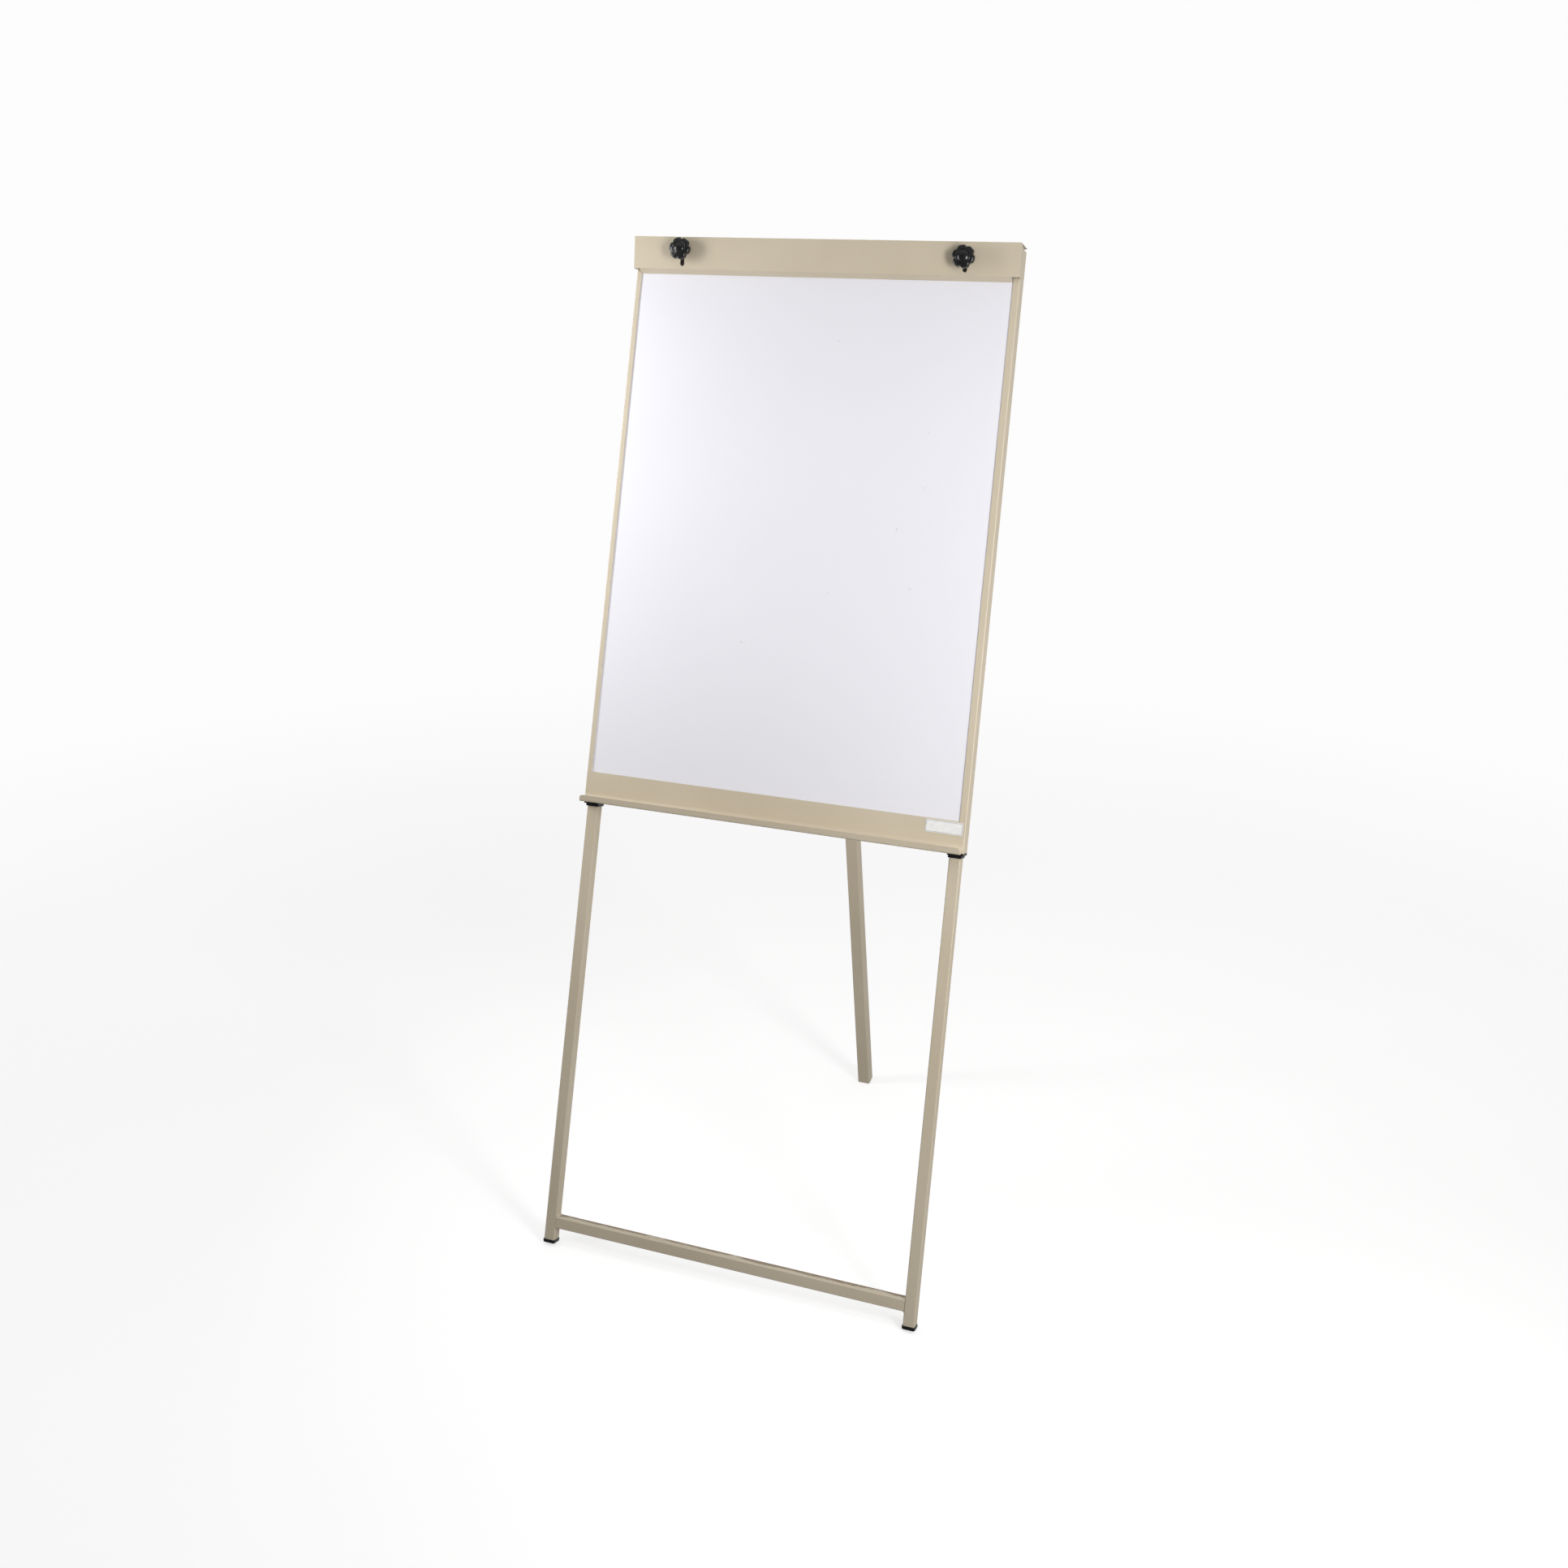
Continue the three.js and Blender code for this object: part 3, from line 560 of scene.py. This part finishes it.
def prism(points, across, low, high):
    """A closed prism from points in the two local axes other than across."""
    axes = [axis for axis in range(3) if axis != across]
    bm = bmesh.new()
    rings = []
    for place in (low, high):
        ring = []
        for a, b in points:
            point = Vector((0, 0, 0))
            point[axes[0]], point[axes[1]], point[across] = a, b, place
            ring.append(point)
        rings.append(ring)
    first, last = ring_bridge(bm, rings)
    bm.faces.new(list(reversed(first)))
    bm.faces.new(last)
    bmesh.ops.recalc_face_normals(bm, faces=bm.faces)
    return bm


def corner_outline(x, z, radius, side, spill=1.0):
    """What rounding cuts off the corner at (x, z), on the left (-1) or the right (1)."""
    cx, cz = x - side * radius, z - radius
    arc = [(cx + side * radius * math.sin(t), cz + radius * math.cos(t))
           for t in (math.pi / 2 * i / 8 for i in range(9))]
    spill *= MM
    return arc + [(x + side * spill, cz), (x + side * spill, z + spill), (cx, z + spill)]


def rounded_lip(tray, radius=6 * MM):
    """Rounds the two upper corners of the tray's lip."""
    low, high = local_box("pen_tray")
    lip_top = LIP_TOP_SHARE * (high.z - low.z) + low.z
    for side, x in ((-1, low.x), (1, high.x)):
        outline = corner_outline(x, lip_top, radius, side)
        bm = prism(outline, 1, low.y - 2 * MM, low.y + LIP_DEPTH)
        cutter = link_mesh("corner_tool", bm, SLOPE)
        cut = tray.modifiers.new("corner", "BOOLEAN")
        cut.operation = "DIFFERENCE"
        cut.object = cutter
        bpy.context.view_layer.update()
        bake_modifiers(tray)
        bpy.data.objects.remove(cutter)
    smooth(tray, 40)


def board_pieces():
    dressed_copy("whiteboard_face", ENAMEL, fold=0.3, rim=0.2)
    dressed_copy("board_core", BOARD_BACK, fold=0.8, rim=0.3)


def weld_beads(side):
    """Hollow fillets over and under one end of the crossbar, against the leg."""
    low, high = local_box("crossbar")
    x = (high.x if side > 0 else low.x) + side * WELD_GAP
    name = "weld_" + ("right" if side > 0 else "left")
    sink, margin = 0.2 * MM, 1.2 * MM
    for z, up, level in ((high.z, 1, "upper"), (low.z, -1, "lower")):
        arc = [(x - side * WELD * (1 - math.sin(t)), z + up * WELD * (1 - math.cos(t)))
               for t in (math.pi / 2 * i / 6 for i in range(7))]
        root = [(x + side * sink, z + up * WELD), (x + side * sink, z - up * sink),
                (x - side * WELD, z - up * sink)]
        bm = prism(arc + root, 1, low.y + margin, high.y - margin)
        piece = link_mesh(f"{name}_{level}", bm, SLOPE)
        smooth(piece, 50)
        piece.data.materials.append(BEIGE)
        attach(piece, "leg_frame")


def leg_pieces():
    for node in both_sides("leg_tube"):
        square_tube(node, BEIGE)
    # The crossbar runs on over the weld gaps, almost to the legs.
    square_tube("crossbar", BEIGE_WORN, rim=0.05, along=0, reach=0.28)
    for side in (-1, 1):
        weld_beads(side)
    square_tube("rear_lower_tube", BEIGE, radius=2.5, local=REAR)
    square_tube("rear_upper_tube", BEIGE, local=REAR)


def foot_cap(node):
    """A soft moulded cap: round corners and foot, and a rim lower than the CAD node's."""
    low, high = local_box(node)
    centre = (low + high) / 2
    half = (high.x - low.x) / 2
    # Each row is an inset from the node's side and a height, both in millimetres.
    profile = [
        (1.8, 0.0), (0.8, 0.25), (0.25, 0.8), (0.0, 1.8), (0.0, 5.7), (0.15, 6.1),
        (0.45, 6.3), (0.8, 6.3), (1.1, 6.15), (1.2, 5.8), (1.2, 2.4),
    ]
    rings = []
    for inset, height in profile:
        outline = round_square(half - inset * MM, (4.0 - inset) * MM)
        rings.append([Vector((centre.x + x, centre.y + y, low.z + height * MM))
                      for x, y in outline])
    bm = bmesh.new()
    made = ring_bridge(bm, rings)
    bm.faces.new(list(reversed(made[0])))
    bm.faces.new(made[-1])
    bmesh.ops.recalc_face_normals(bm, faces=bm.faces)
    piece = link_mesh(node + "_skin", bm, SLOPE)
    smooth(piece, 50)
    return settle(piece, BLACK, node)


def moulded_pieces():
    for node in both_sides("foot_cap"):
        foot_cap(node)
    for node in both_sides("guide_collar"):
        dressed_copy(node, BLACK, fold=0.8, rim=0.3, sheet=0.6)
    for node in both_sides("leg_glide") + ["rear_glide", "rear_end_plug", "rear_cuff"]:
        dressed_copy(node, BLACK, fold=0.9, rim=0.4)
    for node in both_sides("pivot_spacer"):
        dressed_copy(node, BLACK, fold=0.4, rim=0.3, bend=30)


def knob_pieces():
    star_knob("clamp_knob_left", BLACK, FORWARD, turn=-9, hub=0.19)
    star_knob("clamp_knob_right", BLACK, FORWARD, turn=-15, hub=0.19)
    for node in both_sides("leg_lock_knob"):
        star_knob(node, BLACK, BACKWARD)
    star_knob("rear_lock_knob", BLACK, REAR_BACK)


def fastener_pieces():
    names = ["pivot_bolt", "pivot_nut", "rear_lock_nut", "rear_lock_screw"]
    for stem in ("clamp_stud", "stud_nut", "bracket_screw", "leg_lock_nut", "leg_lock_screw",
                 "clamp_washer", "knob_insert", "stud_rail_rivet", "hinge_rail_rivet",
                 "bottom_rail_rivet"):
        names += both_sides(stem)
    for node in names:
        dressed_copy(node, ZINC, fold=0.35, rim=0.2, bend=35)


def label_pieces():
    dressed_copy("blank_label", FILM, fold=0.15, rim=0.1, sheet=0.2)
    low, high = local_box("blank_label")
    line, margin, lift = 0.5 * MM, 1.2 * MM, 0.05 * MM
    front_rings = []
    for inset in (margin, margin + line):
        x0, x1, z0, z1 = low.x + inset, high.x - inset, low.z + inset, high.z - inset
        corners = [(x0, z0), (x1, z0), (x1, z1), (x0, z1)]
        front_rings.append([Vector((x, low.y - lift, z)) for x, z in corners])
    to_back = Vector((0, 2 * lift, 0))
    back_rings = [[point + to_back for point in ring] for ring in front_rings]
    bm = bmesh.new()
    ring_bridge(bm, [*front_rings, *reversed(back_rings)], closed=True)
    bmesh.ops.recalc_face_normals(bm, faces=bm.faces)
    border = link_mesh("label_border", bm, SLOPE)
    border.data.materials.append(FILM_PRINT)
    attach(border, "board")


frame_pieces()
board_pieces()
leg_pieces()
moulded_pieces()
knob_pieces()
fastener_pieces()
label_pieces()


# --------------------------------------------------------------------- floor and light

WHITE = 0.98                # how bright the backdrop is, and the floor far from the easel
NEAR_GLOW = 0.67            # what the lamps' light is added to near the easel
ROOM_RADIUS = 14
FLOOR_NEAR, FLOOR_FAR = 0.8, 4.2
FLOOR_DROP = 0.0002         # below the feet, so that no faces coincide

# Strengths of the world's light from each side, and powers of the lamps in watts.
FRONT_ROOM = 0.14
BACK_ROOM = 0.45
CEILING = 0.58
GROUND = 0.30
LEFT_POWER = 5.25
RIGHT_POWER = 16.0
LOW_POWER = 2.3
NEUTRAL = (1.0, 1.0, 1.0)
WARM = (1.0, 0.96, 0.87)
WIDE, NARROW = 130, 70      # spread of a lamp's light in degrees


def lights_nothing(stage):
    """Keeps a stage piece from lighting the easel or showing in its gloss."""
    stage.visible_diffuse = False
    stage.visible_glossy = False


def grey(value):
    return (value, value, value, 1)


def make_floor():
    """A large pale floor that fades into the backdrop, no part of the easel."""
    bm = bmesh.new()
    bmesh.ops.create_circle(bm, cap_ends=True, segments=96, radius=ROOM_RADIUS)
    floor = link_mesh("floor", bm)
    s = Shader("floor_paper", Roughness=1.0, Specular_IOR_Level=0.0)
    distance = s.node("ShaderNodeVectorMath", operation="LENGTH")
    s.link(s.place, distance.inputs[0])
    far = s.ramp(distance.outputs["Value"], FLOOR_NEAR, FLOOR_FAR)
    tone = s.ramp(s.noise(0.7, 2), 0.3, 0.7)
    colour = s.mix(far, s.mix(tone, grey(0.46), grey(0.48)), grey(0))
    s.bump((s.noise(60, 2), 0.0001),)
    s.surface.inputs["Emission Strength"].default_value = 1.0
    glow = s.mix(far, grey(NEAR_GLOW), grey(WHITE))
    floor.data.materials.append(s.set(Base_Color=colour, Emission_Color=glow))
    floor.location.z = -FLOOR_DROP
    lights_nothing(floor)


def make_backdrop():
    """A white dome all round the floor, so that every view has the same backdrop."""
    bm = bmesh.new()
    bmesh.ops.create_uvsphere(bm, u_segments=48, v_segments=24, radius=ROOM_RADIUS)
    dome = link_mesh("backdrop", bm)
    s = Shader("backdrop_paper", Roughness=1.0, Specular_IOR_Level=0.0)
    s.surface.inputs["Base Color"].default_value = grey(0)
    s.surface.inputs["Emission Color"].default_value = grey(1)
    s.surface.inputs["Emission Strength"].default_value = WHITE
    dome.data.materials.append(s.material)
    dome.visible_shadow = False
    lights_nothing(dome)


def softbox(name, place, target, size, power, colour=NEUTRAL, spread=WIDE):
    """A rectangular lamp at the place, aimed at the target, not seen by the camera."""
    data = bpy.data.lights.new(name, "AREA")
    data.shape = "RECTANGLE"
    data.size, data.size_y = size
    data.energy = power
    data.color = colour
    data.spread = math.radians(spread)
    lamp = bpy.data.objects.new(name, data)
    bpy.context.scene.collection.objects.link(lamp)
    lamp.location = place
    aim = Vector(target) - Vector(place)
    lamp.rotation_euler = aim.to_track_quat("-Z", "Y").to_euler()
    lamp.visible_camera = False


def make_world():
    """A pale room: dim in front of the easel, brighter behind it, above and below."""
    world = bpy.data.worlds.new("studio")
    bpy.context.scene.world = world
    world.use_nodes = True
    tree = world.node_tree
    direction = tree.nodes.new("ShaderNodeTexCoord").outputs["Generated"]
    split = tree.nodes.new("ShaderNodeSeparateXYZ")
    tree.links.new(direction, split.inputs["Vector"])

    def shade(axis, low, high, at_low, at_high):
        node = tree.nodes.new("ShaderNodeMapRange")
        node.interpolation_type = "SMOOTHSTEP"
        for socket, value in zip(("From Min", "From Max", "To Min", "To Max"),
                                 (low, high, at_low, at_high)):
            node.inputs[socket].default_value = value
        tree.links.new(split.outputs[axis], node.inputs["Value"])
        return node.outputs["Result"]

    def brighter(first, second):
        node = tree.nodes.new("ShaderNodeMath")
        node.operation = "MAXIMUM"
        tree.links.new(first, node.inputs[0])
        tree.links.new(second, node.inputs[1])
        return node.outputs[0]

    room = shade("Y", 0.35, 0.8, FRONT_ROOM, BACK_ROOM)
    ceiling = shade("Z", 0.35, 0.8, 0.0, CEILING)
    ground = shade("Z", -0.4, -0.05, GROUND, 0.0)
    background = tree.nodes["Background"]
    background.inputs["Color"].default_value = grey(1)
    strength = brighter(brighter(room, ceiling), ground)
    tree.links.new(strength, background.inputs["Strength"])


def make_lamps():
    board, legs = (0.0, 0.05, 1.20), (0.0, 0.05, 0.35)
    softbox("softbox_left", (-1.04, -0.46, 1.55), board, (0.25, 1.0), LEFT_POWER)
    softbox("softbox_right", (1.65, -1.35, 1.58), board, (0.45, 1.1), RIGHT_POWER)
    softbox("softbox_low", (3.00, -1.40, 0.75), legs, (0.9, 0.9), LOW_POWER, WARM, NARROW)


def make_plain_view():
    view = bpy.context.scene.view_settings
    view.view_transform = "Standard"
    view.look = "None"


make_floor()
make_backdrop()
make_world()
make_lamps()
make_plain_view()

bpy.context.view_layer.update()
